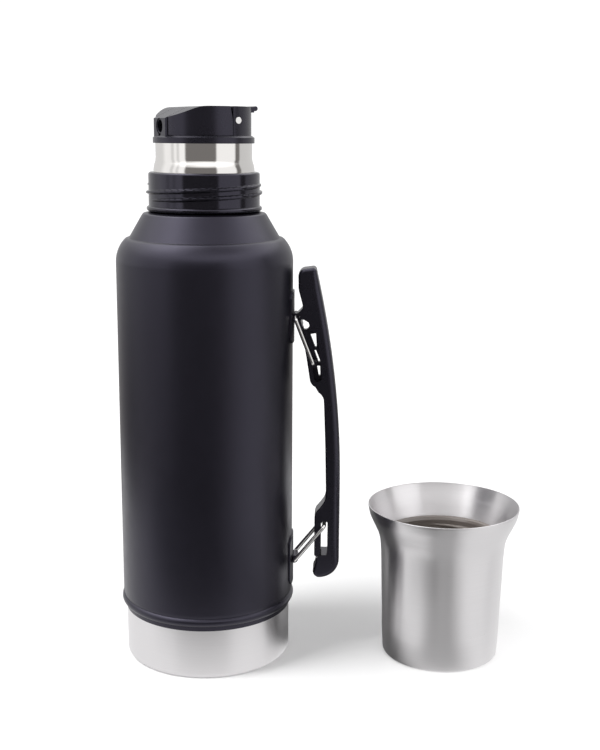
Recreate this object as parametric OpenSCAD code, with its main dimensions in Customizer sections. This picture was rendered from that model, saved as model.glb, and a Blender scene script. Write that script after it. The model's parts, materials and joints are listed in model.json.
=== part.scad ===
// Vacuum growler: a double-walled steel bottle with a folding carrying
// handle, a pour-through stopper worked by a thumb lever, and a screw-on
// lid cup, here standing beside the bottle.
// +Z is up, the origin is the middle of the bottle's base, the handle is
// on +X. All sizes are in millimetres.

/* [Bottle] */
// Outer diameter of the coated body
body_d = 107; // [100:1:114]
// Height of the ledge that the lid cup sits on
ledge_z = 262.5; // [258:0.5:266]
// Height of the bare steel base below the coating
base_h = 33; // [26:1:38]
// Outer diameter of the bare steel base
base_d = 103; // [100:1:104]
// Thickness of the outer steel shell
shell_t = 1; // [0.8:0.1:1.2]
// Diameter of the inner vessel
vessel_d = 97.2; // [92:0.2:99]

/* [Neck] */
// Outer diameter of the polished neck
neck_d = 57.4; // [56.8:0.2:57.6]
// Height of the bottle's mouth
mouth_z = 320; // [319:0.5:320]
// Outer diameter of the threaded collar's wall
collar_d = 66.6; // [65:0.2:67]
// Height of the top of the threaded collar
collar_top = 301.5; // [299:0.5:302]
// Lead of the lid cup's two-start thread
cup_lead = 9.4; // [9:0.2:10]
// Pitch of the stopper's thread
stopper_pitch = 5; // [4.6:0.2:5.4]

/* [Stopper] */
// Direction of the spout, degrees about Z from +X
spout_turn = 211.5; // [190:0.5:230]
// Radius of the cap's wall
cap_r = 28.2; // [27.6:0.1:28.6]
// Height of the top of the cap
cap_top = 339.4; // [338:0.2:341]
// Distance of the lever's pin behind the middle
pin_back = 10.1; // [9.6:0.1:11]
// Height of the lever's pin
pin_z = 331.4; // [331:0.1:332]

/* [Handle] */
// Distance of the bail pivots from the bottle's axis
pivot_x = 55.2; // [55:0.1:55.4]
// Height of the upper bail's pivot
upper_pivot_z = 215.2; // [213:0.1:217]
// Height of the lower bail's pivot
lower_pivot_z = 60.5; // [59:0.1:62]
// Thickness of the bail wire
wire_d = 2.5; // [2.4:0.1:2.6]
// Distance between the two legs of a bail
leg_gap = 18.8; // [18.6:0.1:20]
// Width of the handle across the bottle
handle_w = 15.6; // [14:0.2:15.8]

/* [Lid cup] */
// Distance of the cup from the bottle's axis
cup_x = 148.75; // [125:0.25:200]
// Height of the cup
cup_h = 97; // [94:1:100]

/* [Hidden] */
$fn = 96;

coat = "#3d3c42";
plastic = "#2a292d";
steel = "#c4c4c6";
rubber = "#4a4a4c";

body_r = body_d / 2;
base_r = base_d / 2;
vessel_r = vessel_d / 2;
neck_r = neck_d / 2;
sleeve_in = neck_r - 0.7;
collar_r = collar_d / 2;
wire_r = wire_d / 2;
leg_y = leg_gap / 2;
half_w = handle_w / 2;
cap_base = ledge_z + 59;
skirt_z = cap_base + 1.4;
plug_r = 24.6;
channel_r = 7;
bore_r = 26.8;
flange_r = 30.1;
flange_foot = 318.3;
seat_z = 277.6;
stem_r = 1.9;
pin_r = 2;
fork_z = 334.2;
spring_foot = 317.6;

// Fit of a pin in its bore, and the gap between pieces that pass
pin_fit = 0.05;
pass_gap = 0.4;

// ---- points on an arc, from angle a0 to a1 in n steps ----
function arc(c, r, a0, a1, n = 8) =
    [for (i = [0:n]) let (a = a0 + (a1 - a0) * i / n)
        [c[0] + r * cos(a), c[1] + r * sin(a)]];

// ---- a helical ridge swept round Z ----
// r0, r1: radii of its root and crest; w0, w1: its widths there;
// the ends taper away over one eighth of a turn
function ridge_ring(r0, r1, w0, w1, a, z, k) =
    let (rc = r0 + (r1 - r0) * k)
    [for (p = [[r0, -w0 / 2], [rc, -w1 / 2], [rc, w1 / 2], [r0, w0 / 2]])
        [p[0] * cos(a), p[0] * sin(a), z + p[1] * (0.25 + 0.75 * k)]];
module ridge(r0, r1, w0, w1, pitch, turns, steps = 20) {
    n = ceil(turns * steps);
    rings = [for (i = [0:n]) let (t = i / n * turns,
            k = max(0.12, min(1, min(t, turns - t) * 8)))
        each ridge_ring(r0, r1, w0, w1, 360 * t, pitch * t, k)];
    sides = [for (i = [0:n - 1], j = [0:3]) let (a = 4 * i + j,
            b = 4 * i + (j + 1) % 4)
        each (r1 > r0
            ? [[a, b, a + 4], [b, b + 4, a + 4]]
            : [[a, a + 4, b], [b, a + 4, b + 4]])];
    ends = r1 > r0
        ? [[3, 2, 1, 0], [4 * n, 4 * n + 1, 4 * n + 2, 4 * n + 3]]
        : [[0, 1, 2, 3], [4 * n + 3, 4 * n + 2, 4 * n + 1, 4 * n]];
    polyhedron(rings, concat(sides, ends));
}

// Lid cup's thread: two ridges half a turn apart, each one turn long
module cup_thread(r0, r1) {
    for (start = [0, 180]) rotate([0, 0, start])
        ridge(r0, r1, 2.4, 1, cup_lead, 1, 32);
}

module ring(r_out, r_in, z0, z1) {
    translate([0, 0, z0]) difference() {
        cylinder(r = r_out, h = z1 - z0);
        translate([0, 0, -1]) cylinder(r = r_in, h = z1 - z0 + 2);
    }
}

// ================= bottle =================
shoulder_c = [body_r - 19.5, ledge_z - 14.2];
bead_c = [body_r - 1.9, base_h + 3.6];
cone_foot = [45.1, ledge_z + 0.7];
cone_top = [37.3, ledge_z + 14];
module outer_shell() {
    t = shell_t;
    outside = concat(
        [[base_r + 0.4, base_h - 2]],
        arc(bead_c, 2.8, -80, 60, 8),
        [[body_r, base_h + 8.5]],
        arc(shoulder_c, 19.5, 0, 43, 8),
        [[47.4, ledge_z - 0.2], [46.4, ledge_z], [45.5, ledge_z],
         cone_foot, cone_top],
        arc([cone_top[0] - 1.6, cone_top[1] - 0.9], 1.8, 30, 90, 3),
        [[neck_r + 0.05, ledge_z + 16.6]]);
    inside = concat(
        [[neck_r + 0.05, ledge_z + 15.4], [34.6, ledge_z + 13.6],
         cone_foot - [t + 0.4, t]],
        arc(shoulder_c, 19.5 - t, 40, 0, 8),
        [[body_r - t, base_h + 8.2]],
        arc(bead_c, 1.7, 45, -40, 5),
        [[base_r + 0.05, base_h + 1.5], [base_r + 0.05, base_h - 2]]);
    color(coat) rotate_extrude() polygon(concat(outside, inside));
}

module base_shell() {
    t = 0.8;
    color(steel) rotate_extrude() polygon(concat(
        [[42, 3.8], [42, 3]], arc([43.4, 1.6], 1.6, 180, 270, 3),
        arc([base_r - 3, 3], 3, 270, 360, 6),
        [[base_r, base_h + 7], [base_r - t, base_h + 7]],
        arc([base_r - 3, 3], 3 - t, 360, 270, 6),
        [[43.6, 0.8], [42.9, 1.6], [42.9, 3.8]]));
}

module base_disc() {
    color(steel) rotate_extrude() polygon([[1.5, 4.8], [1.5, 5.6],
        [10.6, 5.6], [12.4, 3.8], [41.95, 3.8], [41.95, 3], [12, 3],
        [10.2, 4.8]]);
}

module evacuation_plug() {
    color("#6f6a62") {
        translate([0, 0, 4.2]) cylinder(r = 1.45, h = 1.4);
        translate([0, 0, 4]) cylinder(r1 = 2.2, r2 = 3, h = 0.8);
    }
}

module getter() {
    color("#8c8c90") translate([24, 0, 3.8]) {
        ring(5, 4.4, 0, 2.6);
        cylinder(r = 4.4, h = 1.6);
    }
}

module inner_vessel() {
    t = 0.8;
    foot = 9;
    shoulder = [vessel_r - 17, ledge_z - 20.5];
    outside = concat([[0, foot]],
        arc([vessel_r - 9, foot + 9], 9, 270, 360, 6),
        arc(shoulder, 17, 0, 50, 6),
        [[26.9, 276], [24.3, 279.5], [24.3, 284.4], [27.6, 288.4],
         [27.6, mouth_z - 0.85]]);
    inside = concat([[bore_r, mouth_z - 0.85], [bore_r, 288.8],
         [23.4, 284.8], [23.4, 279.3], [26, 275.8]],
        arc(shoulder, 17 - t, 50, 0, 6),
        arc([vessel_r - 9, foot + 9], 9 - t, 360, 270, 6),
        [[0, foot + t]]);
    color(steel) {
        rotate_extrude() polygon(concat(outside, inside));
        translate([0, 0, 300]) rotate([0, 0, 40])
            ridge(bore_r + 0.1, 25.5, 2.2, 1, stopper_pitch, 1.5);
    }
}

module radiation_shield() {
    color("#c98b5c") ring(50.3, 50, 18, 236);
}

module neck_sleeve() {
    color(steel) rotate_extrude() polygon(concat(
        [[sleeve_in, ledge_z + 13], [neck_r, ledge_z + 13],
         [neck_r, collar_top + 0.1]],
        // the neck widens a little just above the collar
        [for (p = [[1.4, 0.1], [1.4, 1.6], [1.2, 3], [0.8, 4.6],
                [0.4, 6], [0.12, 7.2], [0, 8.4]])
            [neck_r + p[0], collar_top + p[1]]],
        [[neck_r, mouth_z - 0.4], [neck_r - 0.4, mouth_z], [bore_r, mouth_z],
         [bore_r, mouth_z - 0.8], [sleeve_in, mouth_z - 0.8]]));
}

module collar_gasket() {
    color(rubber) ring(31.4, neck_r + 0.1, ledge_z + 16.6, ledge_z + 17.9);
}

module thread_collar() {
    foot = ledge_z + 17.9;
    // rim that hangs down round the gasket
    skirt = ledge_z + 16.1;
    thread_start = -155;
    color(plastic) {
        rotate_extrude() polygon(concat(
            [[neck_r + 0.1, foot], [31.6, foot], [32.2, skirt],
             [collar_r - 0.4, skirt]],
            arc([collar_r - 0.2, skirt + 1.5], 1.5, -80, 80, 6),
            [[collar_r, skirt + 3.6]],
            arc([collar_r - 1.5, collar_top - 1.5], 1.5, 0, 90, 4),
            [[neck_r + 0.1, collar_top]]));
        translate([0, 0, foot + 4.9]) rotate([0, 0, thread_start])
            cup_thread(collar_r - 0.1, collar_r + 1.5);
    }
}

// ================= handle gear =================
// A plate wrapped on the body with a loop that holds a bail
module bracket(z) {
    plate_r = body_r + 0.95;
    reach = 12;
    plate_h = 31;
    difference() {
        union() {
            translate([0, 0, z - plate_h / 2]) intersection() {
                difference() {
                    cylinder(r = plate_r, h = plate_h);
                    translate([0, 0, -1]) cylinder(r = body_r, h = plate_h + 2);
                }
                translate([40, -reach, 0]) cube([20, 2 * reach, plate_h]);
            }
            translate([pivot_x, 5.4, z]) rotate([90, 0, 0])
                cylinder(r = wire_r + 1.2, h = 10.8);
        }
        translate([0, 0, z - plate_h]) cylinder(r = body_r, h = 2 * plate_h);
        translate([pivot_x, 30, z]) rotate([90, 0, 0])
            cylinder(r = wire_r + pin_fit, h = 60);
        // corners of the plate
        for (sy = [-1, 1], sz = [-1, 1])
            translate([40, sy * reach, z + sz * plate_h / 2])
                rotate([45, 0, 0]) translate([0, -2.4, -2.4])
                    cube([30, 4.8, 4.8]);
    }
}
module upper_bracket() {
    color(coat) bracket(upper_pivot_z);
}
module lower_bracket() {
    color(coat) bracket(lower_pivot_z);
}

// Closed wire loop: one bar through the pivot at the origin, the other
// at distance len along +Z
bend_r = 2;
module bail(len) {
    bar = leg_gap - 2 * bend_r;
    for (z = [0, len])
        translate([0, bar / 2, z]) rotate([90, 0, 0])
            cylinder(r = wire_r, h = bar);
    for (s = [-1, 1]) {
        translate([0, s * leg_y, bend_r])
            cylinder(r = wire_r, h = len - 2 * bend_r);
        for (m = [0, 1])
            translate([0, s * (leg_y - bend_r), m ? len - bend_r : bend_r])
                mirror([0, s < 0 ? 1 : 0, 0]) mirror([0, 0, m ? 0 : 1])
                    rotate([90, 0, 90]) rotate_extrude(angle = 90)
                        translate([bend_r, 0]) circle(r = wire_r, $fn = 32);
    }
}

// Where the bails' outer bars lie when the handle hangs against the body
upper_bar = [66.3, 186.9];
lower_bar = [74, 83.9];
upper_arm = upper_bar - [pivot_x, upper_pivot_z];
lower_arm = lower_bar - [pivot_x, lower_pivot_z];
module upper_bail() {
    color(steel) translate([pivot_x, 0, upper_pivot_z])
        rotate([0, atan2(upper_arm[0], upper_arm[1]), 0])
            bail(norm(upper_arm));
}
module lower_bail() {
    color(steel) translate([pivot_x, 0, lower_pivot_z])
        rotate([0, atan2(lower_arm[0], lower_arm[1]), 0])
            bail(norm(lower_arm));
}

// Side outline of the handle, X across and Z up
back_x = 83.6;
back_r = 585;
function back(z) = back_x - pow(max(0, z - 108), 2) / (2 * back_r);
handle_outline = concat(
    [for (z = [108:9:240]) [back(z), z]],
    arc([back(243) - 2.6, 243], 2.6, 0, 78, 4),
    arc([61.4, 240.4], 4.5, 100, 180, 4),
    [[57.2, 232], [58.8, 226], [60, 222.6], [57, 218.2], [56.4, 215.4],
     [60.8, 198], [63.2, 184]],
    arc([70.2, 177.8], 6, 195, 245, 4),
    arc([66.4, 163.2], 6.6, 60, 5, 4),
    [[73.5, 152], [74.2, 133], [74.6, 108], [75, 104.4]],
    arc([75.6, 88.6], 7.7, 140, 180, 4),
    [[67.9, 66.4]],
    arc([69.2, 64.6], 1.4, 180, 250, 3),
    [[69.3, 60.6]],
    arc([71.3, 53.2], 4.2, 140, 270, 6),
    arc([71.4, 61.2], 12.2, 275, 360, 7));
module across(pts, y0, y1) {
    translate([0, y1, 0]) rotate([90, 0, 0])
        linear_extrude(y1 - y0) polygon(pts);
}
module cross_hole(x, z, r, y0 = -20, y1 = 20) {
    translate([x, y1, z]) rotate([90, 0, 0]) cylinder(r = r, h = y1 - y0);
}
web = 1.8;
side_pocket = [[59.4, 208], [60.4, 213.6], [63.6, 211.6], [64.2, 207.6],
    [68.4, 206.6], [69.8, 197], [71.4, 182], [71.6, 177.4],
    [69.6, 175.4], [67.3, 176.4], [65.8, 184], [62.4, 197]];
module carry_handle() {
    color(plastic) difference() {
        across(handle_outline, -half_w, half_w);
        // room for the upper bracket's loop
        cross_hole(pivot_x, upper_pivot_z, wire_r + 1.2 + pass_gap);
        // pockets that leave a thin web beside the upper bail
        for (s = [-1, 1])
            difference() {
                across(side_pocket, s > 0 ? web : -20, s > 0 ? 20 : -web);
                cross_hole(upper_bar[0], upper_bar[1], 2.5);
            }
        // bore for the upper bail's bar
        cross_hole(upper_bar[0], upper_bar[1], wire_r + pin_fit);
        for (s = [-1, 1])
            cross_hole(upper_bar[0], upper_bar[1], wire_r + pass_gap,
                s > 0 ? 5.6 : -20, s > 0 ? 20 : -5.6);
        // lightening holes through the web
        intersection() {
            cross_hole(60.9, 210.4, 3.3);
            across([[59, 215.2], [70, 220], [70, 204], [63.2, 204.4]],
                -20, 20);
        }
        across([[64.2, 204.3], [67.7, 205], [68.2, 196.4], [67.3, 196.4]],
            -20, 20);
        across([[66.7, 194.4], [67.8, 194.6], [70.6, 187.4], [69.4, 187]],
            -20, 20);
        across([[68.4, 184.8], [70.4, 184.8], [70.6, 178.6], [69.6, 178.6]],
            -20, 20);
        // slot that the lower bail's bar slides in
        translate([71.9, -20, 64.4]) cube([4.2, 40, 22]);
        // split that lets the wire be snapped into the slot
        across([[72.4, 65.6], [72.4, 64.6], [67, 60.6], [67, 61.6]],
            -20, 20);
    }
}

// ================= stopper =================
// The stopper's own frame: X towards the spout, Z up
module stopper_frame() {
    rotate([0, 0, spout_turn]) children();
}

module mouth_gasket() {
    color(rubber) ring(neck_r - 0.1, bore_r + 0.1, mouth_z, cap_base);
}

// Hollow plug round a pouring channel; its waist carries the plug seal
module stopper_plug() {
    top = cap_base;
    foot = 277;
    color(plastic) {
        rotate_extrude() polygon([[channel_r, foot], [21.2, foot],
            [21.2, 287], [plug_r, 287], [plug_r, top], [21.4, top],
            [21.4, 290], [19.4, 288], [19.4, foot + 4],
            [channel_r + 2, foot + 4], [channel_r + 2, top],
            [channel_r, top]]);
        translate([0, 0, 302.5]) rotate([0, 0, 40])
            ridge(plug_r - 0.1, 26.2, 2.2, 1, stopper_pitch, 2);
    }
}

module plug_insulation() {
    color("#e4dfd0") rotate_extrude() polygon([[9.2, 281.2],
        [19.2, 281.2], [19.2, 288.2], [21.2, 290.2],
        [21.2, cap_base - 0.6], [9.2, cap_base - 0.6]]);
}

module plug_seal() {
    color("#b9b4a8") rotate_extrude() polygon([[21.25, 282.6],
        [21.25, 286.9], [24.4, 286.9], [24.75, 286.55], [23.3, 284.85],
        [22.8, 283.4], [22, 282.6]]);
}

seat_r = 4.6;
module valve_seat() {
    color("#b9b4a8") difference() {
        ring(6.95, seat_r, seat_z, seat_z + 3.4);
        translate([0, 0, seat_z + 2])
            cylinder(r1 = seat_r, r2 = seat_r + 1.6, h = 1.41);
    }
}

// Rounded top of the cap: flat to the rear, falling towards the spout
module cap_form(r, z0) {
    crown_r = 20;
    intersection() {
        translate([0, 0, z0]) cylinder(r = r, h = 40);
        translate([0, 40, 0]) rotate([90, 0, 0]) linear_extrude(80)
            polygon(concat([[-40, 300], [-40, cap_top]],
                arc([9, cap_top - crown_r], crown_r, 90, 64, 6),
                [[31.4, cap_top - 8.3], [31.4, 300]]));
    }
}

block_w = 8.4;
face_x = 28.3;
outlet_z = 328;
nozzle_r = 4.3;
chamber_r = 6.8;
seam_x = -pin_back + 4;
chamber_h = 6.2;
block_h = chamber_h + 4;
module cap_housing() {
    color(plastic) stopper_frame() difference() {
        union() {
            // flange over the mouth, with a skirt outside the neck
            translate([0, 0, cap_base]) cylinder(r = flange_r, h = 0.1);
            ring(flange_r, neck_r + 0.5, flange_foot, cap_base + 0.1);
            translate([0, 0, cap_base]) difference() {
                cylinder(r1 = flange_r, r2 = flange_r - 1.5, h = 1.1);
                translate([0, 0, -1]) cylinder(r = 10, h = 4);
            }
            ring(26, 20, cap_base, skirt_z + 0.6);
            // spout block
            intersection() {
                cap_form(30, cap_base);
                translate([12, -block_w, cap_base])
                    cube([face_x - 12, 2 * block_w, 40]);
            }
            // pouring chamber over the plug
            translate([0, 0, cap_base]) cylinder(r = chamber_r + 1, h = block_h);
            translate([0, -5.6, cap_base]) cube([20, 11.2, block_h]);
            // cheeks that carry the lever's pin
            intersection() {
                cap_form(cap_r, cap_base);
                for (s = [-1, 1])
                    translate([-40, s > 0 ? 11.6 : -31.6, cap_base])
                        cube([40 + seam_x, 20, 40]);
            }
        }
        // chamber and outlet
        translate([0, 0, cap_base - 1])
            cylinder(r = chamber_r, h = chamber_h + 1);
        translate([5, 0, outlet_z - 1.2]) rotate([0, 90, 0])
            cylinder(r = 3.3, h = 40);
        translate([14, 0, outlet_z]) rotate([0, 90, 0])
            cylinder(r = nozzle_r + 0.02, h = 40);
        // drip recess round the outlet
        translate([face_x - 1.2, 0, outlet_z]) rotate([0, 90, 0])
            cylinder(r = nozzle_r + 0.3, h = 4);
        translate([face_x - 1.2, 0, outlet_z - 4]) rotate([0, 90, 0])
            cylinder(r = 1.8, h = 4);
        // guide for the valve stem
        translate([0, 0, cap_base]) cylinder(r = stem_r + 0.08, h = 30);
        // bores for the lever's pin
        translate([-pin_back, 40, pin_z]) rotate([90, 0, 0])
            cylinder(r = pin_r + 0.02, h = 80);
        for (s = [-1, 1])
            translate([-pin_back, s * 25.3 + (s > 0 ? 10 : 0), pin_z])
                rotate([90, 0, 0]) cylinder(r = pin_r + 0.6, h = 10);
    }
}

module channel_gasket() {
    color(rubber) ring(20.8, 9.3, cap_base - 0.6, cap_base);
}

module spout_nozzle() {
    color(plastic) stopper_frame() translate([14, 0, outlet_z])
        rotate([0, 90, 0]) difference() {
            cylinder(r = nozzle_r, h = face_x - 14.4);
            translate([0, 0, -1]) cylinder(r = nozzle_r - 0.6, h = 40);
        }
}

// The lid turns on the pin behind it; pressing its tab lifts the front
module lever_lid() {
    lean = 3;
    arm_w = 11;
    ear_t = 2.6;
    tab_x = -31;
    tab_w = 14;
    color(plastic) stopper_frame() difference() {
        union() {
            difference() {
                cap_form(cap_r, skirt_z);
                // hollow inside
                translate([0, 0, -2.6]) cap_form(cap_r - 1.8, skirt_z);
                // behind the seam, leaning forward as it rises
                translate([0, 40, 0]) rotate([90, 0, 0]) linear_extrude(80)
                    polygon([[-60, 300], [seam_x + 0.3, 300],
                        [seam_x + 0.3, pin_z], [seam_x + 0.3 + lean, 345],
                        [-60, 345]]);
                // room for the spout block
                translate([11.4, -block_w - pass_gap, 300])
                    cube([30, 2 * (block_w + pass_gap), 60]);
            }
            // arm over the pin, on two ears, with a thumb tab behind
            for (y = [-arm_w, arm_w - ear_t]) {
                translate([-pin_back, y + ear_t, pin_z]) rotate([90, 0, 0])
                    cylinder(r = 3.8, h = ear_t);
                translate([-pin_back - 3, y, pin_z])
                    cube([6, ear_t, cap_top - pin_z - 1]);
            }
            translate([-28, -arm_w, cap_top - 3.2]) cube([32, 2 * arm_w, 3.2]);
            translate([tab_x, -tab_w / 2, cap_top - 2.3]) cube([8, tab_w, 1.8]);
            translate([tab_x, tab_w / 2, cap_top - 0.8]) rotate([90, 0, 0])
                cylinder(r = 1.4, h = tab_w, $fn = 48);
            // fork that lifts the valve stem
            translate([-8, -4.6, fork_z]) cube([13.2, 9.2, 1.4]);
            translate([-8, -4.6, fork_z]) cube([4, 9.2, 4]);
        }
        translate([-pin_back, 40, pin_z]) rotate([90, 0, 0])
            cylinder(r = pin_r + pin_fit, h = 80);
        // slot between the fork's tines
        translate([-2.9, -2.6, fork_z - 1.2]) cube([10, 5.2, 3.4]);
        // room for the stem's head
        translate([-3.9, -3.9, fork_z + 1.4]) cube([9.2, 7.8, 2.6]);
    }
}

module lever_pin() {
    color(steel) stopper_frame() translate([-pin_back, 26.2, pin_z])
        rotate([90, 0, 0]) cylinder(r = pin_r, h = 52.4);
}

module valve_stem() {
    color(steel) {
        translate([0, 0, seat_z - 1.6]) cylinder(r = stem_r, h = 60.1);
        // head that the lever's fork lifts
        translate([0, 0, fork_z + 1.5]) cylinder(r = 3.2, h = 0.8);
        // collar that the spring presses on
        translate([0, 0, spring_foot - 1]) cylinder(r = 4.8, h = 1);
    }
}

module stem_seal() {
    color(rubber) ring(3, stem_r + pin_fit, cap_base + block_h, fork_z - 1);
}

module valve_disc() {
    disc_r = seat_r + 1.4;
    color("#b9b4a8") difference() {
        union() {
            translate([0, 0, seat_z + 2.2]) {
                cylinder(r1 = seat_r, r2 = disc_r, h = 1.4);
                translate([0, 0, 1.4]) cylinder(r = disc_r, h = 1.2);
            }
        }
        translate([0, 0, seat_z - 8]) cylinder(r = stem_r, h = 20);
    }
}

// Coil that presses the valve down on its seat
module valve_spring() {
    turns = 5;
    steps = 14;
    z0 = spring_foot + 0.45;
    z1 = cap_base + chamber_h - 0.45;
    n = turns * steps;
    rings = [for (i = [0:n], j = [0:5]) let (a = 360 * turns * i / n,
            b = 60 * j, r = 3.9 + 0.4 * cos(b))
        [r * cos(a), r * sin(a), z0 + (z1 - z0) * i / n + 0.4 * sin(b)]];
    sides = [for (i = [0:n - 1], j = [0:5]) let (p = 6 * i + j,
            q = 6 * i + (j + 1) % 6)
        each [[p, q, p + 6], [q, q + 6, p + 6]]];
    color(steel) polyhedron(rings, concat(sides,
        [[5, 4, 3, 2, 1, 0], [for (j = [0:5]) 6 * n + j]]));
}

// ================= lid cup =================
module cup_shell() {
    t = 0.8;
    flare = [[37.3, 28], [37.9, 46], [38.3, 60], [38.7, 70], [39.4, 75],
        [40.6, 78.8], [42.6, 83], [44.5, 87], [46.1, 91], [46.9, 94.2]];
    lip = arc([46.5, cup_h - 0.55], 0.55, 0, 180, 6);
    color(steel) translate([cup_x, 0, 0]) rotate_extrude() polygon(concat(
        [[0, 0.8], [31, 0.8], [32, 0]],
        arc([34, 2.4], 2.4, 270, 350, 5),
        flare, lip,
        [for (i = [len(flare) - 1:-1:0]) flare[i] - [t, 0]],
        arc([34, 2.4], 1.6, 350, 270, 4),
        [[32.3, 0.8], [31.3, 1.6], [0, 1.6]]));
}

module cup_liner() {
    color("#4a4542") translate([cup_x, 0, 0]) {
        rotate_extrude() polygon(concat(
            [[0, 2], [31, 2], [33.6, 4], [36.3, 28], [36.95, 46],
             [37.3, 60], [37.7, 70], [38.1, 74.2], [38.5, 76.2]],
            [[37.8, 76.8], [36.4, 76], [35.5, 74.6],
             [35.5, 46], [34.9, 28], [32.3, 6.4], [29.6, 3.6], [0, 3.6]]));
        translate([0, 0, 61]) cup_thread(35.6, 34.1);
    }
}

outer_shell();
base_shell();
base_disc();
evacuation_plug();
getter();
inner_vessel();
radiation_shield();
neck_sleeve();
collar_gasket();
thread_collar();
upper_bracket();
lower_bracket();
upper_bail();
lower_bail();
carry_handle();
mouth_gasket();
stopper_plug();
plug_insulation();
plug_seal();
valve_seat();
cap_housing();
channel_gasket();
spout_nozzle();
lever_lid();
lever_pin();
valve_stem();
stem_seal();
valve_disc();
valve_spring();
cup_shell();
cup_liner();
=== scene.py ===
import json
import math

import bmesh
import bpy
import numpy as np
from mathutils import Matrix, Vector


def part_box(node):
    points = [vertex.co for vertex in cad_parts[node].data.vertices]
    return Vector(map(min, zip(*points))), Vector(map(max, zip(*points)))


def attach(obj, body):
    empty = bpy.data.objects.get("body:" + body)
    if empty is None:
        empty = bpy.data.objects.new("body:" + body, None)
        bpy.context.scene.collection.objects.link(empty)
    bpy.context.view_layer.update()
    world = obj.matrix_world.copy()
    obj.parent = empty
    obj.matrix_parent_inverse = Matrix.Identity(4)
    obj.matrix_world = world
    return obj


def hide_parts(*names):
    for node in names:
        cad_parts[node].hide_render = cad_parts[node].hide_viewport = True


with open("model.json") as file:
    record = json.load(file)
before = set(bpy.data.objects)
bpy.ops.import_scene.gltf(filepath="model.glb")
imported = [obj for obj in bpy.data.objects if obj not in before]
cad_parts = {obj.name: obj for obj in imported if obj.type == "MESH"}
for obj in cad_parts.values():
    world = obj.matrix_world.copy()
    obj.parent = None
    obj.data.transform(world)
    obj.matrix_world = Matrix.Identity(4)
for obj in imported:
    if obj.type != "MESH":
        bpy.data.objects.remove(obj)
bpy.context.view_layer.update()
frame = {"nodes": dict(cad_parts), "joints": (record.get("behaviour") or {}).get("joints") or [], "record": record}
NODES = frame["nodes"]
MM = 0.001


def mm_box(node):
    """A CAD node's lowest and highest corner, in millimetres."""
    lo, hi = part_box(node)
    return np.array(lo) / MM, np.array(hi) / MM


def joint_pos(name):
    """Where a joint's axis runs, in millimetres."""
    found = next(j for j in frame["joints"] if j["name"] == name)
    return np.array(found["pos_m"]) / MM


def placed(name, data):
    """Put a mesh, lamp or camera in the scene under a name."""
    obj = bpy.data.objects.new(name, data)
    bpy.context.scene.collection.objects.link(obj)
    return obj


# ---------------------------------------------------------------- meshes
def arc(centre, radius, a0, a1, steps=16):
    """Points of an arc from angle a0 to a1, in degrees."""
    return [(centre[0] + radius * math.cos(math.radians(a)),
             centre[1] + radius * math.sin(math.radians(a)))
            for a in np.linspace(a0, a1, steps + 1)]


def rounded(corners, steps=6):
    """Closed outline through (u, v, radius) corners; radius 0 stays sharp."""
    out = []
    count = len(corners)
    for i, corner in enumerate(corners):
        p = np.array(corner[:2], float)
        r = corner[2]
        a = np.array(corners[i - 1][:2], float) - p
        b = np.array(corners[(i + 1) % count][:2], float) - p
        la, lb = np.linalg.norm(a), np.linalg.norm(b)
        if r <= 0 or la < 1e-6 or lb < 1e-6:
            out.append(tuple(p))
            continue
        a, b = a / la, b / lb
        half = math.acos(max(-1, min(1, float(a @ b)))) / 2
        if half > math.radians(89):
            out.append(tuple(p))
            continue
        t = min(r / math.tan(half), 0.48 * la, 0.48 * lb)
        r = t * math.tan(half)
        mid = (a + b) / np.linalg.norm(a + b)
        c = p + mid * r / math.sin(half)
        s, e = p + a * t - c, p + b * t - c
        a0 = math.atan2(s[1], s[0])
        turn = (math.atan2(e[1], e[0]) - a0 + math.pi) % (2 * math.pi) - math.pi
        out += [(c[0] + r * math.cos(a0 + turn * k / steps),
                 c[1] + r * math.sin(a0 + turn * k / steps))
                for k in range(steps + 1)]
    return out


def spline(points, per=6):
    """Smooth open curve through the points."""
    p = [np.array(q, float) for q in points]
    p = [2 * p[0] - p[1]] + p + [2 * p[-1] - p[-2]]
    out = []
    for i in range(1, len(p) - 2):
        for k in range(per):
            t = k / per
            out.append(tuple(0.5 * (2 * p[i] + (p[i + 1] - p[i - 1]) * t
                + (2 * p[i - 1] - 5 * p[i] + 4 * p[i + 1] - p[i + 2]) * t ** 2
                + (3 * p[i] - p[i - 1] - 3 * p[i + 1] + p[i + 2]) * t ** 3)))
    return out + [tuple(p[-2])]


def mesh_from(name, verts, faces):
    """A mesh from points in millimetres."""
    mesh = bpy.data.meshes.new(name)
    mesh.from_pydata([tuple(np.array(v) * MM) for v in verts], [], faces)
    return mesh


def weld(mesh, distance):
    """Join points closer than a distance in metres, and turn the faces outward."""
    bm = bmesh.new()
    bm.from_mesh(mesh)
    bmesh.ops.remove_doubles(bm, verts=bm.verts, dist=distance)
    bmesh.ops.recalc_face_normals(bm, faces=bm.faces)
    bm.to_mesh(mesh)
    bm.free()


def make(name, verts, faces, body, slot, node, sharp=38, weighted=True):
    """A piece from points in millimetres, in a CAD node's place."""
    mesh = mesh_from(name, verts, faces)
    mesh.validate()
    finish_piece(name, mesh, body, slot, node, sharp, weighted)


def finish_piece(name, mesh, body, slot, node, sharp, weighted=True):
    """Shade a mesh and put it in the scene as a piece; edges over sharp degrees stay sharp."""
    weld(mesh, 2e-7)
    mesh.shade_smooth()
    mesh.set_sharp_from_angle(angle=math.radians(sharp))
    piece = placed(name, mesh)
    if weighted:
        mod = piece.modifiers.new("normals", "WEIGHTED_NORMAL")
        mod.keep_sharp = True
        mod.weight = 50
    mesh.materials.clear()
    mesh.materials.append(MATERIALS[slot])
    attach(piece, body)
    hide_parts(node)


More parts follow.
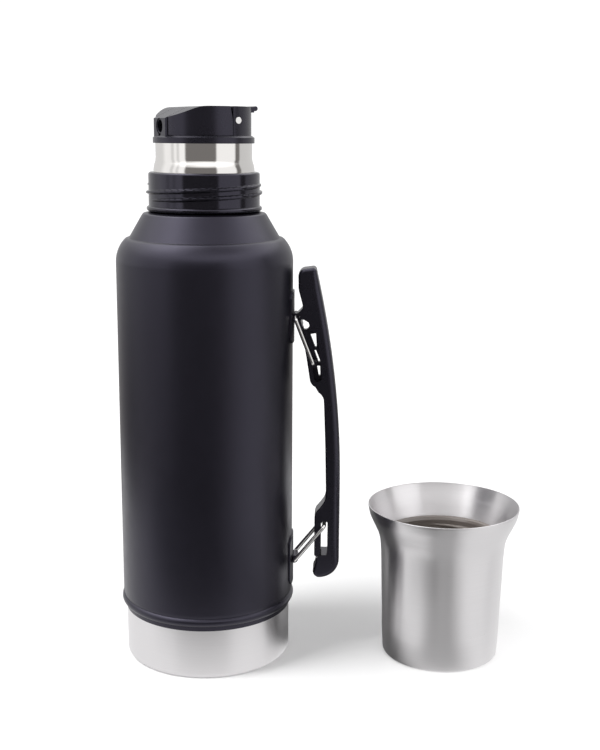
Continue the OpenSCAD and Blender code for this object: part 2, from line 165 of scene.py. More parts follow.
def revolved(outline, centre=(0, 0), seg=192, push=None):
    """Closed outline of (radius, z) turned about Z. push(angle, radius, z) gives
    the radius to use there."""
    verts, rings = [], []
    angles = np.linspace(0, 2 * math.pi, seg, endpoint=False)
    for r, z in outline:
        if r < 1e-6:
            rings.append([len(verts)] * seg)
            verts.append((centre[0], centre[1], z))
            continue
        start = len(verts)
        rings.append(list(range(start, start + seg)))
        for a in angles:
            q = r if push is None else push(a, r, z)
            verts.append((centre[0] + q * math.cos(a),
                          centre[1] + q * math.sin(a), z))
    faces = []
    for i in range(len(rings)):
        lo, hi = rings[i], rings[(i + 1) % len(rings)]
        if lo[0] == lo[1] and hi[0] == hi[1]:
            continue
        for j in range(seg):
            k = (j + 1) % seg
            quad = [lo[j], lo[k], hi[k], hi[j]]
            faces.append(list(dict.fromkeys(quad)))
    return verts, faces


def swept(path, radius, seg=24):
    """Round wire along a closed path."""
    pts = [np.array(p, float) for p in path]
    n = len(pts)
    verts, faces = [], []
    side = np.array((0.0, 1.0, 0.0))
    normal = None
    for i in range(n):
        t = pts[(i + 1) % n] - pts[i - 1]
        t /= np.linalg.norm(t)
        if normal is None:
            normal = np.cross(t, side)
            if np.linalg.norm(normal) < 1e-3:
                normal = np.cross(t, (1.0, 0.0, 0.0))
        normal = normal - (normal @ t) * t
        normal /= np.linalg.norm(normal)
        other = np.cross(t, normal)
        for k in range(seg):
            a = 2 * math.pi * k / seg
            verts.append(pts[i] + radius * (math.cos(a) * normal
                                            + math.sin(a) * other))
    for i in range(n):
        m = (i + 1) % n
        for k in range(seg):
            q = (k + 1) % seg
            faces.append([i * seg + k, i * seg + q, m * seg + q, m * seg + k])
    return verts, faces


def slab(outline, half, radii, steps=7):
    """Outline of (x, z) made thick along Y, with its edges rounded by radii."""
    pts = np.array(outline, float)
    n = len(pts)
    area = 0.5 * sum(pts[i - 1][0] * pts[i][1] - pts[i][0] * pts[i - 1][1]
                     for i in range(n))
    sense = 1 if area > 0 else -1
    inward = []
    for i in range(n):
        a = pts[i] - pts[i - 1]
        b = pts[(i + 1) % n] - pts[i]
        a /= np.linalg.norm(a)
        b /= np.linalg.norm(b)
        na, nb = np.array((-a[1], a[0])), np.array((-b[1], b[0]))
        m = (na + nb) / max(1e-6, float(np.linalg.norm(na + nb)))
        inward.append(sense * m / max(0.5, float(m @ na)))
    inward = np.array(inward)
    radii = np.array(radii, float)
    levels = []
    turns = np.linspace(90, 0, steps + 1)
    for s in (-1, 1):
        for a in (turns if s < 0 else turns[::-1]):
            c, si = math.cos(math.radians(a)), math.sin(math.radians(a))
            off = pts + inward * (radii * (1 - c))[:, None]
            y = s * (half - radii + radii * si)
            levels.append([(off[i][0], y[i], off[i][1]) for i in range(n)])
    verts = [v for level in levels for v in level]
    faces = []
    for k in range(len(levels) - 1):
        for i in range(n):
            j = (i + 1) % n
            faces.append([k * n + i, k * n + j, (k + 1) * n + j, (k + 1) * n + i])
    faces.append(list(range(n)))
    faces.append(list(range((len(levels) - 1) * n, len(levels) * n))[::-1])
    return verts, faces


def plain_mesh(name, verts, faces):
    """A mesh that is cut, or cuts, before it becomes a piece."""
    mesh = mesh_from(name, verts, faces)
    weld(mesh, 1e-7)
    return mesh


def cut(mesh, cutters):
    """A mesh with each cutter mesh taken away."""
    obj = placed("cutting", mesh)
    tools = []
    for i, cutter in enumerate(cutters):
        tool = placed(f"cutter_{i}", cutter)
        mod = obj.modifiers.new(f"cut_{i}", "BOOLEAN")
        mod.operation = "DIFFERENCE"
        mod.solver = "EXACT"
        mod.object = tool
        tools.append(tool)
    graph = bpy.context.evaluated_depsgraph_get()
    result = bpy.data.meshes.new_from_object(obj.evaluated_get(graph))
    for used in [obj, *tools]:
        bpy.data.objects.remove(used)
    return result


def prism(outline, y0, y1):
    """Cutter: an outline of (x, z) run along Y."""
    n = len(outline)
    verts = [(x, y, z) for y in (y0, y1) for x, z in outline]
    faces = [[i, (i + 1) % n, n + (i + 1) % n, n + i] for i in range(n)]
    faces += [list(range(n))[::-1], list(range(n, 2 * n))]
    return plain_mesh("prism", verts, faces)


def disc_prism(x, z, r, y0, y1, steps=40):
    """Cutter: a round bar along Y."""
    return prism(arc((x, z), r, 0, 360 - 360 / steps, steps - 1), y0, y1)


def refined(name, node, width, body, slot):
    """A new piece from a CAD node's surface, its edges rounded by a width in mm."""
    near = 3e-6        # metres
    bm = bmesh.new()
    bm.from_mesh(NODES[node].data)
    bmesh.ops.remove_doubles(bm, verts=bm.verts, dist=near)
    bmesh.ops.dissolve_degenerate(bm, edges=bm.edges, dist=near)
    bmesh.ops.dissolve_limit(bm, angle_limit=math.radians(1), verts=bm.verts,
                             edges=bm.edges)
    mesh = bpy.data.meshes.new(name)
    bm.to_mesh(mesh)
    bm.free()
    for extra in ("custom_normal", "sharp_edge", "sharp_face"):
        if extra in mesh.attributes:
            mesh.attributes.remove(mesh.attributes[extra])
    obj = placed("refining", mesh)
    mod = obj.modifiers.new("edges", "BEVEL")
    mod.width = width * MM
    mod.segments = 3
    mod.limit_method = "ANGLE"
    mod.angle_limit = math.radians(32)
    mod.use_clamp_overlap = True
    mod.miter_outer = "MITER_ARC"
    graph = bpy.context.evaluated_depsgraph_get()
    result = bpy.data.meshes.new_from_object(obj.evaluated_get(graph))
    result.name = name
    bpy.data.objects.remove(obj)
    finish_piece(name, result, body, slot, node, 30)


# ---------------------------------------------------------- shader nodes
def feed(tree, socket, value):
    """Give a socket a number, a colour or another node's output."""
    if isinstance(value, bpy.types.NodeSocket):
        tree.links.new(value, socket)
    else:
        socket.default_value = value


def calc(tree, operation, *values):
    """Math node."""
    node = tree.nodes.new("ShaderNodeMath")
    node.operation = operation
    for socket, value in zip(node.inputs, values):
        feed(tree, socket, value)
    return node.outputs[0]


def blend(tree, factor, a, b):
    """Colour a where the factor is 0, b where it is 1."""
    node = tree.nodes.new("ShaderNodeMix")
    node.data_type = "RGBA"
    for key, value in (("Factor", factor), ("A", a), ("B", b)):
        feed(tree, node.inputs[key], value)
    return node.outputs["Result"]


def ramp(tree, value, stops):
    """Colours at places from 0 to 1, looked up by a value."""
    node = tree.nodes.new("ShaderNodeValToRGB")
    elements = node.color_ramp.elements
    while len(elements) < len(stops):
        elements.new(0.5)
    for element, (place, colour) in zip(elements, stops):
        element.position = place
        element.color = (*colour, 1)
    tree.links.new(value, node.inputs["Fac"])
    return node.outputs["Color"]


def span(tree, value, low, high, lo_in, hi_in, smooth=False):
    """Value taken from the range lo_in..hi_in to low..high."""
    node = tree.nodes.new("ShaderNodeMapRange")
    if smooth:
        node.interpolation_type = "SMOOTHSTEP"
    for key, v in (("From Min", lo_in), ("From Max", hi_in),
                   ("To Min", low), ("To Max", high)):
        node.inputs[key].default_value = v
    tree.links.new(value, node.inputs["Value"])
    return node.outputs["Result"]


# ------------------------------------------------------------- materials
class Nodes:
    """Short way to write a material's node tree."""

    def __init__(self, name):
        self.material = bpy.data.materials.new(name)
        self.material.use_nodes = True
        self.tree = self.material.node_tree
        self.shader = self.tree.nodes["Principled BSDF"]
        self.coord = self.tree.nodes.new("ShaderNodeTexCoord").outputs["Object"]

    def put(self, socket, value):
        feed(self.tree, self.shader.inputs[socket], value)

    def stretched(self, across, along):
        """Coordinates for lines that run round the upright axis."""
        node = self.tree.nodes.new("ShaderNodeMapping")
        node.inputs["Scale"].default_value = (across, across, along)
        self.tree.links.new(self.coord, node.inputs["Vector"])
        return node.outputs["Vector"]

    def noise(self, scale, detail=3, vector=None, rough=0.5):
        node = self.tree.nodes.new("ShaderNodeTexNoise")
        node.inputs["Scale"].default_value = scale
        node.inputs["Detail"].default_value = detail
        node.inputs["Roughness"].default_value = rough
        self.tree.links.new(self.coord if vector is None else vector,
                            node.inputs["Vector"])
        return node.outputs["Fac"]

    def span(self, noise, low, high):
        """Noise, whose middle part is about 0.3 to 0.7, taken to low..high."""
        return span(self.tree, noise, low, high, 0.3, 0.7)

    def colours(self, value, a, b, lo=0.3, hi=0.7):
        self.put("Base Color", ramp(self.tree, value, [(lo, a), (hi, b)]))

    def bump(self, height, depth_mm):
        node = self.tree.nodes.new("ShaderNodeBump")
        node.inputs["Strength"].default_value = 1.0
        node.inputs["Distance"].default_value = depth_mm * MM
        self.tree.links.new(height, node.inputs["Height"])
        self.put("Normal", node.outputs["Normal"])


def tones(colour, darker, lighter):
    """A darker and a lighter tone of a colour."""
    return (tuple(c * darker for c in colour),
            tuple(min(1, c * lighter) for c in colour))


def coated(name, colour, rough, grain_mm, depth_mm, gloss=0.62,
           sheen_tint=(0.80, 0.755, 1.0)):
    """Powder coat or moulded plastic: a fine grain with faint broad changes."""
    n = Nodes(name)
    n.colours(n.noise(22, 2), *tones(colour, 0.9, 1.12))
    n.put("Roughness", n.span(n.noise(130, 4), rough * 0.93, rough * 1.07))
    n.bump(n.noise(1 / (grain_mm * MM), 4, rough=0.65), depth_mm)
    n.put("Specular IOR Level", gloss)
    n.put("Specular Tint", (*sheen_tint, 1))
    return n.material


def brushed(name, colour, rough, drawn_out, depth_mm, lines, tint=0.06):
    """Metal brushed round its own upright axis, which draws its gloss out."""
    n = Nodes(name)
    fine = n.noise(1, 5, n.stretched(26, lines), 0.7)
    wide = n.noise(1, 2, n.stretched(9, 420))
    n.colours(fine, tones(colour, 1 - tint, 1)[0], colour, 0.25, 0.75)
    n.put("Roughness", calc(n.tree, "ADD", n.span(fine, -0.035, 0.05),
                            n.span(wide, rough * 0.94, rough * 1.06)))
    n.bump(fine, depth_mm)
    n.put("Metallic", 1.0)
    if drawn_out:
        tangent = n.tree.nodes.new("ShaderNodeTangent")
        tangent.direction_type = "RADIAL"
        tangent.axis = "Z"
        n.put("Tangent", tangent.outputs["Tangent"])
        n.put("Anisotropic", drawn_out)
        # a quarter turn: the gloss spreads up and down, across the lines
        n.put("Anisotropic Rotation", 0.25)
    return n.material


def soft(name, colour, rough, grain_mm=0.5, depth_mm=0.02, spread=0.18,
         metallic=0.0):
    """Rubber, silicone, foam, drawn wire and foil: an even, slightly uneven skin."""
    n = Nodes(name)
    n.colours(n.noise(180, 4), *tones(colour, 1 - spread, 1 + spread))
    n.put("Roughness", n.span(n.noise(300, 3), rough * 0.92,
                              min(1, rough * 1.08)))
    n.bump(n.noise(1 / (grain_mm * MM), 3), depth_mm)
    n.put("Metallic", metallic)
    return n.material


MATERIALS = {
    "coating": coated("powder_coat", (0.0052, 0.0049, 0.0078), 0.34, 0.35,
                      0.008),
    "satin_black": coated("satin_plastic", (0.0055, 0.0053, 0.0075), 0.28,
                          0.5, 0.004),
    "gloss_black": coated("gloss_plastic", (0.004, 0.004, 0.005), 0.12, 0.9,
                          0.001),
    "dark_liner": coated("liner_plastic", (0.19, 0.165, 0.15), 0.16, 0.7,
                         0.003, 0.5, (1.0, 1.0, 1.0)),
    "brushed_steel": brushed("brushed_steel", (0.74, 0.725, 0.735), 0.32, 0.8,
                             0.0003, 3200),
    "plain_steel": brushed("drawn_steel", (0.62, 0.61, 0.60), 0.34, 0.3,
                           0.002, 2600),
    "polished_steel": brushed("polished_steel", (0.83, 0.81, 0.79), 0.075,
                              0.0, 0.0004, 3000, 0.03),
    "wire_steel": soft("bright_wire", (0.78, 0.77, 0.76), 0.16, 1.2, 0.001,
                       0.03, 1.0),
    "copper_foil": soft("copper_foil", (0.78, 0.42, 0.27), 0.3, 3, 0.05,
                        0.08, 1.0),
    "braze": soft("sealing_glass", (0.16, 0.14, 0.13), 0.35, 0.8, 0.02),
    "black_rubber": soft("black_rubber", (0.016, 0.016, 0.018), 0.62),
    "grey_rubber": soft("grey_silicone", (0.42, 0.40, 0.36), 0.5, 0.6, 0.01,
                        0.06),
    "foam": soft("rigid_foam", (0.72, 0.67, 0.53), 0.9, 0.8, 0.25, 0.1),
}

# every CAD node gets its slot's material; the pieces below replace some
for subpart in frame["record"]["subparts"]:
    data = NODES[subpart["node"]].data
    data.materials.clear()
    data.materials.append(MATERIALS[subpart["material_slot"]])

# ---------------------------------------------------------------- bottle
# Millimetres. What the CAD fixes is read from the boxes of its nodes.
shell_lo, shell_hi = mm_box("outer_shell")
neck_lo, neck_hi = mm_box("neck_sleeve")
body_r = shell_hi[1] - 0.9              # the bead stands out by 0.9
base_r = mm_box("base_shell")[1][1]
base_h = shell_lo[2] + 2                # the coat reaches 2 over the foot
neck_r = mm_box("mouth_gasket")[1][1] + 0.1
ledge = shell_hi[2] - 16.6              # step between shoulder and cone
wall = 0.8                              # bare steel of foot and cup
THREAD_OUT = 1.5                        # how far the collar's ridges stand out


def bottle_shell():
    """Coated body, shoulder and cone, with a bead above the foot."""
    turn_r = 19.5
    shoulder = (body_r - turn_r, ledge - 14.2)
    bead = (body_r - 1.9, base_h + 3.6)
    cone_foot = (45.1, ledge + 0.7)
    cone_top = (37.3, ledge + 14)
    at_neck = neck_r + 0.05
    at_foot = base_r + 0.05
    outer = ([(at_foot, base_h - 2), (base_r + 0.4, base_h - 2)]
             + arc(bead, 2.8, -80, 60, 20)
             + [(body_r, base_h + 8.5)]
             + [(body_r, z)
                for z in np.linspace(base_h + 40, shoulder[1] - 12, 5)]
             + arc(shoulder, turn_r, 0, 43, 26)
             + rounded([(47.4, ledge - 0.2, 0), (46.2, ledge, 0.5),
                        (45.5, ledge, 0.4), (*cone_foot, 0)], 4)[:-1]
             + [cone_foot, (41.4, ledge + 7), cone_top]
             + arc((cone_top[0] - 1.6, cone_top[1] - 0.9), 1.8, 30, 90, 8)
             + [(at_neck, shell_hi[2])])
    inner = ([(at_neck, ledge + 15.4), (34.6, ledge + 13.6),
              (cone_foot[0] - 1.4, cone_foot[1] - 1)]
             + arc(shoulder, turn_r - 1, 40, 0, 12)
             + [(body_r - 1, base_h + 8.2)]
             + arc(bead, 1.7, 45, -40, 8)
             + [(at_foot, base_h + 1.5)])
    make("bottle_shell", *revolved(outer + inner, seg=256), "flask",
         "coating", "outer_shell", sharp=50)


def bottle_base():
    """Bare steel foot with a rolled edge underneath."""
    edge_r = 3
    edge = (base_r - edge_r, edge_r)
    top = base_h + 7
    outer = ([(42, 3.8), (42, 3)]
             + arc((43.4, 1.6), 1.6, 180, 270, 8)
             + arc(edge, edge_r, 270, 360, 16)
             + [(base_r, 12), (base_r, 22), (base_r, top)])
    inner = ([(base_r - wall, top)]
             + arc(edge, edge_r - wall, 360, 270, 10)
             + [(43.6, 0.8), (42.9, 1.6), (42.9, 3.8)])
    make("bottle_base", *revolved(outer + inner, seg=256), "flask",
         "brushed_steel", "base_shell", sharp=50)


def neck_tube():
    """Polished neck, a little wider just above the collar."""
    mouth = neck_hi[2]
    seat = mm_box("thread_collar")[1][2]
    bore = neck_r - 1.9
    back_r = neck_r - 0.7
    widening = [(1.4, 0.1), (1.4, 1.6), (1.2, 3), (0.8, 4.6), (0.4, 6),
                (0.12, 7.2), (0, 8.4)]
    outline = ([(back_r, neck_lo[2]), (neck_r, neck_lo[2]),
                (neck_r, seat + 0.1)]
               + spline([(neck_r + out, seat + up) for out, up in widening], 5)
               + [(neck_r, mouth - 0.5)]
               + arc((neck_r - 0.4, mouth - 0.4), 0.4, 0, 90, 6)
               + [(bore, mouth), (bore, mouth - 0.8), (back_r, mouth - 0.8)])
    make("neck_tube", *revolved(outline), "flask", "polished_steel",
         "neck_sleeve", sharp=50)


# ------------------------------------------------- thread of cup and collar
LEAD = 9.4               # rise of a ridge in one turn
ROOT_W, CREST_W = 2.6, 1.1
TAPER_DEG = 45           # each ridge fades out over this at both its ends


def eased(k):
    return k * k * (3 - 2 * k)


def ridge(start_deg, z0, a, z):
    """How far a ridge one turn long stands out, 0 to 1, at an angle and height."""
    along = (math.degrees(a) - start_deg) % 360
    off = abs(z - z0 - LEAD * along / 360)
    end = eased(min(1, along / TAPER_DEG, (360 - along) / TAPER_DEG))
    root = ROOT_W / 2 * (0.45 + 0.55 * end)
    crest = CREST_W / 2 * (0.4 + 0.6 * end)
    return end * eased(max(0.0, min(1.0, (root - off) / (root - crest))))


def two_start(start_deg, z0, a, z):
    """Two ridges, half a turn apart."""
    return max(ridge(start_deg, z0, a, z), ridge(start_deg + 180, z0, a, z))


def collar():
    """Black collar whose rim hangs round the gasket and whose thread takes the cup."""
    lo, hi = mm_box("thread_collar")
    skirt, top = lo[2], hi[2]
    foot = mm_box("collar_gasket")[1][2]
    collar_r = (hi[1] - lo[1]) / 2 - THREAD_OUT
    in_r = neck_r + 0.1
    lip = 1.5
    threaded_from = foot + 3.7

    def push(a, r, z):
        if r > collar_r - 0.01 and z > threaded_from:
            return r + THREAD_OUT * two_start(-155, foot + 4.9, a, z)
        return r

    outline = ([(in_r, foot), (31.6, foot), (32.2, skirt),
                (collar_r - 0.4, skirt)]
               + arc((collar_r - 0.2, skirt + 1.5), 1.5, -80, 80, 16)
               + [(collar_r, skirt + 3.6)]
               + [(collar_r, z)
                  for z in np.arange(threaded_from + 0.1, top - lip - 0.05, 0.2)]
               + arc((collar_r - lip, top - lip), lip, 0, 90, 10)
               + [(in_r, top)])
    make("collar_threaded", *revolved(outline, seg=300, push=push), "flask",
         "gloss_black", "thread_collar", sharp=50)


bottle_shell()
bottle_base()
neck_tube()
collar()

# ----------------------------------------------------------- handle gear
refined("bracket_high", "upper_bracket", 0.3, "flask", "coating")
refined("bracket_low", "lower_bracket", 0.3, "flask", "coating")

wire_r = 1.25
low_hi = mm_box("lower_bail")[1]
high_pivot = joint_pos("upper_bail_swing")[[0, 2]]
low_pivot = joint_pos("lower_bail_swing")[[0, 2]]
high_bar = joint_pos("handle_tilt")[[0, 2]]
low_bar = np.array((low_hi[0] - wire_r, low_hi[2] - wire_r))


def bail(name, pivot, bar, body, node):
    """Closed wire loop from a pivot to a bar, both lying along Y."""
    leg_y = mm_box("upper_bail")[1][1] - wire_r
    bend = 2.0
    length = np.linalg.norm(bar - pivot)
    up = (bar - pivot) / length
    corners = rounded([(-leg_y, 0, bend), (leg_y, 0, bend),
                       (leg_y, length, bend), (-leg_y, length, bend)], 12)
    path = [(pivot[0] + up[0] * w, y, pivot[1] + up[1] * w)
            for y, w in corners]
    make(name, *swept(path, wire_r), body, "wire_steel", node, weighted=False)


bail("bail_high", high_pivot, high_bar, "upper_link", "upper_bail")
bail("bail_low", low_pivot, low_bar, "lower_link", "lower_bail")

# ---------------------------------------------------------------- handle
grip_hi = mm_box("carry_handle")[1]
BOW_FROM, BOW_R = 108, 585    # the back bows forward above this height


def grip_back(z):
    return grip_hi[0] - max(0, z - BOW_FROM) ** 2 / (2 * BOW_R)


def grip_edge():
    """The grip's side outline as (x, z, rounding of the edge there)."""
    stretches = [
        (4.2, [(grip_back(z), z) for z in np.linspace(BOW_FROM, 238, 40)]),
        (2.2, arc((grip_back(243) - 2.6, 243), 2.6, 0, 78, 10)),
        (2.0, arc((61.4, 240.4), 4.5, 100, 180, 10)),
        (1.0, spline([(57.0, 236), (57.2, 232), (58.8, 226), (59.6, 221.6),
                      (58, 219)], 5)),
        (0.6, arc(high_pivot, wire_r + 1.6, 62, -58, 12)),
        (1.0, spline([(58.2, 208), (60.8, 198), (63.2, 184)], 5)),
        (1.0, arc((70.2, 177.8), 6, 195, 245, 8)),
        (1.0, arc((66.4, 163.2), 6.6, 60, 5, 8)),
        (1.6, spline([(73.5, 152), (74.2, 133), (74.6, 116), (74.8, 106),
                      (74.2, 100), (71.4, 95.4)], 5)),
        (1.2, arc((75.6, 88.6), 7.7, 148, 180, 8)),
        (1.0, [(67.9, 78), (67.9, 66.4)]),
        (0.9, arc((69.2, 64.6), 1.3, 180, 250, 5) + [(69.2, 60.6)]),
        (2.0, arc((71.3, 53.2), 4.2, 140, 270, 12)),
        (2.8, arc((71.4, 61.2), 12.2, 275, 360, 16)),
        (4.2, [(grip_hi[0], z) for z in np.linspace(66, 104, 10)]),
    ]
    return [(x, z, r) for r, points in stretches for x, z in points]


def grip_cutters():
    """Pockets in both sides, the upper bail's bore and the holes right through."""
    web = 1.8          # half of what stays between the two pockets
    reach = 20         # past the grip's side
    boss_r = 2.5       # left standing round the upper bail's bar
    pocket = rounded(
        [(59.4, 208, 0.8), (60.4, 213.6, 1.2), (63.6, 211.6, 1),
         (64.2, 207.6, 0.8), (68.4, 206.6, 1.2), (69.8, 197, 2),
         (71.4, 182, 2), (71.6, 177.4, 1.2), (69.6, 175.4, 1.2),
         (67.3, 176.4, 1), (65.8, 184, 1.5), (62.4, 197, 2)], 5)
    beside_bar = rounded(
        [(58.4, 214.2, 0.6), (60.4, 214.1, 0.6), (63.4, 212.4, 1),
         (63.9, 209.2, 1), (62.2, 207.3, 1), (60.4, 207.3, 0.6)], 5)
    upper_window = rounded(
        [(64.2, 204.3, 0.5), (67.7, 205, 0.5), (68.2, 196.4, 0.4),
         (67.3, 196.4, 0.4)], 4)
    middle_window = rounded(
        [(66.7, 194.4, 0.3), (67.8, 194.6, 0.3), (70.6, 187.4, 0.3),
         (69.4, 187, 0.3)], 3)
    lower_window = rounded(
        [(68.4, 184.8, 0.6), (70.4, 184.8, 0.6), (70.6, 178.6, 0.4),
         (69.6, 178.6, 0.4)], 4)
    bail_slot = rounded(
        [(71.9, 64.4, 0.8), (71.9, 86.4, 0.8), (76.1, 86.4, 0.8),
         (76.1, 64.4, 0.8)], 5)
    slot_entry = [(72.4, 65.6), (72.4, 64.6), (67, 60.6), (67, 61.6)]
    cutters = [
        cut(prism(pocket, *sides),
            [disc_prism(*high_bar, boss_r, -reach - 1, reach + 1)])
        for sides in ((-reach, -web), (web, reach))]
    cutters.append(disc_prism(*high_bar, wire_r + 0.05, -reach, reach))
    cutters += [prism(hole, -reach, reach)
                for hole in (beside_bar, upper_window, middle_window,
                             lower_window, bail_slot, slot_entry)]
    return cutters


def grip():
    """Moulded grip, its edges rounded by as much as each stretch allows."""
    edge = grip_edge()
    radii = np.array([r for _, _, r in edge])
    for _ in range(6):
        radii = (np.roll(radii, 1) + 2 * radii + np.roll(radii, -1)) / 4
    blank = plain_mesh(
        "grip_blank", *slab([(x, z) for x, z, _ in edge], grip_hi[1], radii))
    finish_piece("handle_grip", cut(blank, grip_cutters()), "handle",
                 "satin_black", "carry_handle", 34)


grip()

# --------------------------------------------------------------- stopper
refined("cap_base", "cap_housing", 0.35, "stopper", "satin_black")
refined("cap_lever", "lever_lid", 0.45, "lever", "satin_black")
refined("cap_nozzle", "spout_nozzle", 0.2, "stopper", "satin_black")
refined("cap_pin", "lever_pin", 0.3, "stopper", "wire_steel")

# --------------------------------------------------------------- lid cup
cup_lo, cup_hi = mm_box("cup_shell")
cup_at = ((cup_lo[0] + cup_hi[0]) / 2, 0)


def cup_outer():
    """Steel cup with a flared lip and a foot ring."""
    foot_r, foot = 2.4, (34, 2.4)
    lip_r = 0.28
    flare = spline([(37.1, 16), (37.3, 28), (37.9, 46), (38.3, 60),
                    (38.7, 68.5), (39.4, 74.6), (40.7, 79.2), (42.6, 83.4),
                    (44.5, 87.4), (46.0, 91), (46.95, 95), (47.1, 96.6)], 6)
    # the inside leaves the outside's curve at inner_from, so that it runs
    # straight on to the lip
    inner_from = 79
    funnel = spline([(46.6, 96.75), (45.85, 94.7), (44.55, 91.4),
                     (42.9, 87.4), (41.35, 83.4), (39.88, 79.2)], 6)
    outline = ([(0, 0.8), (31, 0.8), (32, 0)]
               + arc(foot, foot_r, 270, 352, 14) + flare
               + arc((46.83, cup_hi[2] - lip_r), lip_r, 0, 160, 10)
               + funnel
               + [(r - wall, z) for r, z in reversed(flare) if z < inner_from]
               + arc(foot, foot_r - wall, 352, 270, 10)
               + [(32.3, 0.8), (31.3, 1.6), (0, 1.6)])
    make("cup_outer", *revolved(outline, cup_at, 256), "cup",
         "brushed_steel", "cup_shell", sharp=50)


def cup_inner():
    """Dark liner with the thread that fits the collar."""
    wall_r = 35.5
    ridge_out = 1.4

    def push(a, r, z):
        if abs(r - wall_r) < 0.01:
            return r - ridge_out * two_start(-75, 62, a, z)
        return r

    outside = [(0, 2), (31, 2), (33.6, 4), (36.25, 28), (36.95, 46),
               (37.3, 60), (37.7, 70), (38.1, 74.2), (38.5, 76.2)]
    inside = (rounded([(37.8, 76.8, 0), (36.4, 76, 1), (wall_r, 74.6, 1),
                       (wall_r, 73.8, 0)], 6)
              + [(wall_r, z) for z in np.arange(73.4, 57, -0.25)]
              + [(wall_r, 46), (34.9, 28), (32.6, 8)]
              + arc((29.2, 6.9), 3.3, 0, -90, 10) + [(0, 3.6)])
    make("cup_inner", *revolved(outside + inside, cup_at, 300, push=push),
         "cup", "dark_liner", "cup_liner", sharp=50)


cup_outer()
cup_inner()

# ----------------------------------------------------------------- floor
def pale_floor():
    """Matt floor that takes the shadows and isn't seen in reflections."""
    half = 20.0
    steps = 24
    places = np.linspace(-half, half, steps)
    verts = [(x, y, 0.0) for y in places for x in places]
    quads = [[j * steps + i, j * steps + i + 1, (j + 1) * steps + i + 1,
              (j + 1) * steps + i]
             for j in range(steps - 1) for i in range(steps - 1)]
    mesh = bpy.data.meshes.new("floor")
    mesh.from_pydata(verts, [], quads)
    paper = Nodes("paper")
    paper.colours(paper.noise(3, 2), (0.95, 0.95, 0.95), (0.96, 0.96, 0.96))
    paper.put("Roughness", 0.95)
    paper.put("Specular IOR Level", 0.1)
    mesh.materials.append(paper.material)
    plate = placed("floor", mesh)
    plate.visible_glossy = False
    return plate


# how bright the painted reflection of the floor is, from its near edge to its far one
DEPTH_LEVELS = [(0.0, 0.13), (0.38, 0.16), (0.5, 0.4), (0.6, 0.88),
                (0.7, 1.02), (1.0, 1.04)]


def grey(level):
    return (level, level, level)


def reflected_floor():
    """Glowing card under the object, seen in reflections only: a painted reflection of the floor, with painted
    light and painted shadow on it.
    """
    x0, x1, y0, y1 = -0.36, 0.5, -0.34, 0.4
    mesh = bpy.data.meshes.new("card")
    mesh.from_pydata([(x, y, -0.001) for x, y in (
        (x0, y0), (x1, y0), (x1, y1), (x0, y1))], [], [[0, 1, 2, 3]])
    glow = Nodes("card")
    tree = glow.tree
    tree.nodes.remove(glow.shader)
    emission = tree.nodes.new("ShaderNodeEmission")
    place = tree.nodes.new("ShaderNodeSeparateXYZ")
    tree.links.new(glow.coord, place.inputs[0])
    x, y = place.outputs["X"], place.outputs["Y"]

    def past(value, start, end):
        """0 before start, 1 past end."""
        return span(tree, value, 0, 1, start, end)

    def short_of(value, start, end):
        """1 before start, 0 past end."""
        return span(tree, value, 1, 0, start, end)

    def every(*factors):
        product = factors[0]
        for factor in factors[1:]:
            product = calc(tree, "MULTIPLY", product, factor)
        return product

    colour = ramp(tree, past(y, y0, 0.06),
                  [(at, grey(level)) for at, level in DEPTH_LEVELS])
    slanted = calc(tree, "MULTIPLY_ADD", y, 0.9, x)
    # painted light and painted shadow laid over the depth levels of the painted floor reflection
    painted_floor_zones = [
        # to the right of the cup: painted light, the lit floor as reflected
        (past(x, 0.17, 0.23), 0.95),
        # between the bottle and the cup: painted shadow, the bottle's shadow on the floor as reflected
        (every(past(slanted, 0.05, 0.07), short_of(x, 0.125, 0.14),
               past(y, -0.06, -0.02)), 0.12),
        # ahead of the cup: painted reflection, darker here
        (every(past(x, 0.1, 0.12), short_of(x, 0.165, 0.2),
               short_of(y, -0.05, -0.03)), 0.5),
    ]
    for factor, level in painted_floor_zones:
        colour = blend(tree, factor, colour, (*grey(level), 1))
    tree.links.new(colour, emission.inputs["Color"])
    tree.links.new(emission.outputs[0],
                   tree.nodes["Material Output"].inputs["Surface"])
    mesh.materials.append(glow.material)
    plate = placed("card", mesh)
    plate.visible_camera = plate.visible_diffuse = plate.visible_shadow = False
    return plate


floor = pale_floor()
card = reflected_floor()

# ---------------------------------------------------------------- studio
# Brightness of the studio round the object as (degrees from FRONT, level),
# where FRONT is the camera's own bearing: BELOW the horizon, ROUND it,
# in the MIDDLE heights and OVERHEAD.
FRONT = 6.8
BELOW = [(-180, 0.6), (-150, 0.45), (-128, 0.2), (-113, 0.1), (-99, 0.3),
         (-72, 0.3), (-50, 0.16), (-32, 0.09), (8, 0.09), (42, 0.46),
         (58, 0.9), (84, 0.9), (100, 0.07), (128, 0.07), (150, 0.3),
         (180, 0.5)]
ROUND = [(-180, 0.72), (-116, 0.8), (-102, 1.04), (-86, 1.02), (-82, 0.78),
         (-77, 0.78), (-74, 1.04), (-69, 1.04), (-66, 0.8), (-62, 0.8),
         (-59, 1.08), (-47, 1.1), (-43, 0.19), (27, 0.19), (31, 1.06),
         (77, 1.06), (81.5, 0.17), (91, 0.2), (95, 0.66), (180, 0.72)]
MIDDLE = [(-180, 1.2), (-130, 1.5), (-100, 2.0), (-60, 1.9), (-30, 1.7),
          (30, 1.9), (60, 2.0), (110, 2.3), (150, 1.8), (180, 1.2)]
OVERHEAD = [(-180, 1.0), (-135, 2.4), (-112, 4.2), (-70, 4.2), (-46, 2.2),
            (-24, 0.85), (35, 0.5), (70, 0.9), (100, 1.9), (140, 1.6),
            (180, 1.0)]
BACKDROP = 1.1           # what the camera sees behind the object


def studio_colour(level):
    """Grey of a level; the dark parts of the studio are a little warm."""
    warm = 0.0 if level > 0.5 else 0.05
    return (level * (1 + warm), level, level * (1 - warm / 2))


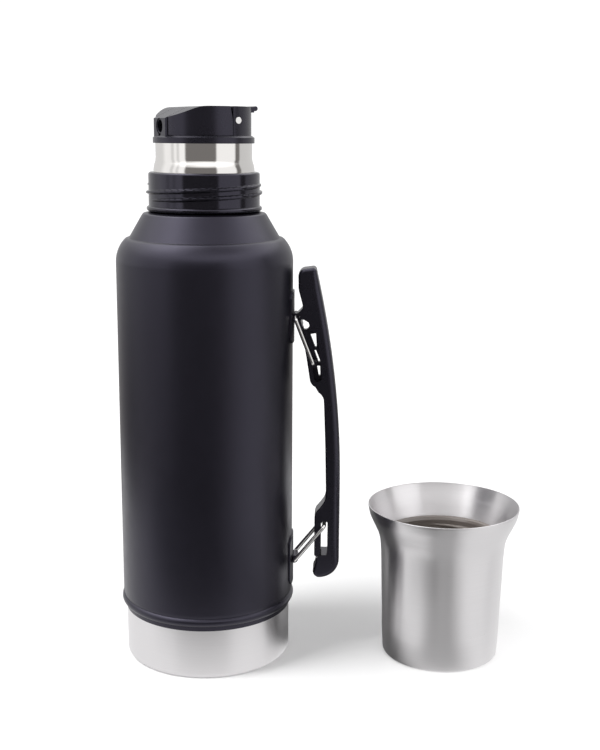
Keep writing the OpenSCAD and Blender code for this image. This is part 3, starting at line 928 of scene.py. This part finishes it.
def studio():
    """World whose brightness goes by bearing and height. It is there for
    reflections; the lamps alone light the floor."""
    world = bpy.data.worlds.new("studio")
    bpy.context.scene.world = world
    world.use_nodes = True
    world.cycles_visibility.diffuse = False
    tree = world.node_tree
    way = tree.nodes.new("ShaderNodeSeparateXYZ")
    tree.links.new(tree.nodes.new("ShaderNodeTexCoord").outputs["Generated"],
                   way.inputs[0])
    x, y, z = (way.outputs[axis] for axis in "XYZ")
    bearing = calc(tree, "ARCTAN2", x, calc(tree, "MULTIPLY", y, -1.0))
    turned = calc(tree, "ADD",
                  calc(tree, "MULTIPLY", bearing, 1 / (2 * math.pi)), 0.5)

    def around(levels):
        """Colour by bearing."""
        return ramp(tree, turned, [
            (min(1.0, max(0.0, (deg + FRONT) / 360 + 0.5)),
             studio_colour(level)) for deg, level in levels])

    def above(low, high):
        """0 for a direction lower than low, 1 for one higher than high."""
        return span(tree, z, 0, 1, low, high, smooth=True)

    colour = blend(tree, above(-0.2, -0.09), around(BELOW), around(ROUND))
    colour = blend(tree, above(0.34, 0.56), colour, around(MIDDLE))
    colour = blend(tree, above(0.62, 0.8), colour, around(OVERHEAD))
    path = tree.nodes.new("ShaderNodeLightPath")
    sky = tree.nodes["Background"]
    sky.inputs["Strength"].default_value = 1.0
    feed(tree, sky.inputs["Color"],
         blend(tree, path.outputs["Is Camera Ray"], colour,
               (*grey(BACKDROP), 1)))


def sun(name, towards, spread_deg, power):
    """Distant lamp shining from a direction, not seen in reflections."""
    light = bpy.data.lights.new(name, "SUN")
    light.angle = math.radians(spread_deg)
    light.energy = power
    lamp = placed(name, light)
    lamp.rotation_mode = "QUATERNION"
    lamp.rotation_quaternion = Vector(towards).to_track_quat("Z", "Y")
    lamp.visible_glossy = False
    return lamp


def direction(bearing_deg, height_deg):
    """Unit vector towards a bearing from +X and a height above the floor."""
    a, h = math.radians(bearing_deg), math.radians(height_deg)
    return (math.cos(h) * math.cos(a), math.cos(h) * math.sin(a), math.sin(h))


def lamps():
    """A wide lamp overhead and two high on the left, a little to the front."""
    high_left = direction(204, 62)
    key = sun("key", high_left, 20, 1.5)
    sun("key_second", high_left, 24, 0.45)
    sun("ceiling", (0, 0, 1), 130, 2.2)
    # the cup casts only the faint shadow of the second lamp
    spared = bpy.data.collections.new("faint_shadow")
    for piece in ("cup_outer", "cup_inner"):
        spared.objects.link(bpy.data.objects[piece])
    for linked in spared.collection_objects:
        linked.light_linking.link_state = "EXCLUDE"
    key.light_linking.blocker_collection = spared


studio()
lamps()

# ---------------------------------------------------------------- camera
CAMERA_AT = (0.083940, -0.706214, 0.325489)
CAMERA_TURN = (78.2423, -0.3696, 2.1774)      # degrees about X, Y and Z
LENS_MM, FILM_MM = 56.195, 36

camera_data = bpy.data.cameras.new("camera")
camera_data.lens = LENS_MM
camera_data.sensor_width = FILM_MM
camera_data.clip_start, camera_data.clip_end = 0.01, 50
camera = placed("camera", camera_data)
camera.location = CAMERA_AT
camera.rotation_euler = [math.radians(turn) for turn in CAMERA_TURN]
bpy.context.scene.camera = camera
bpy.context.scene.view_settings.view_transform = "Standard"
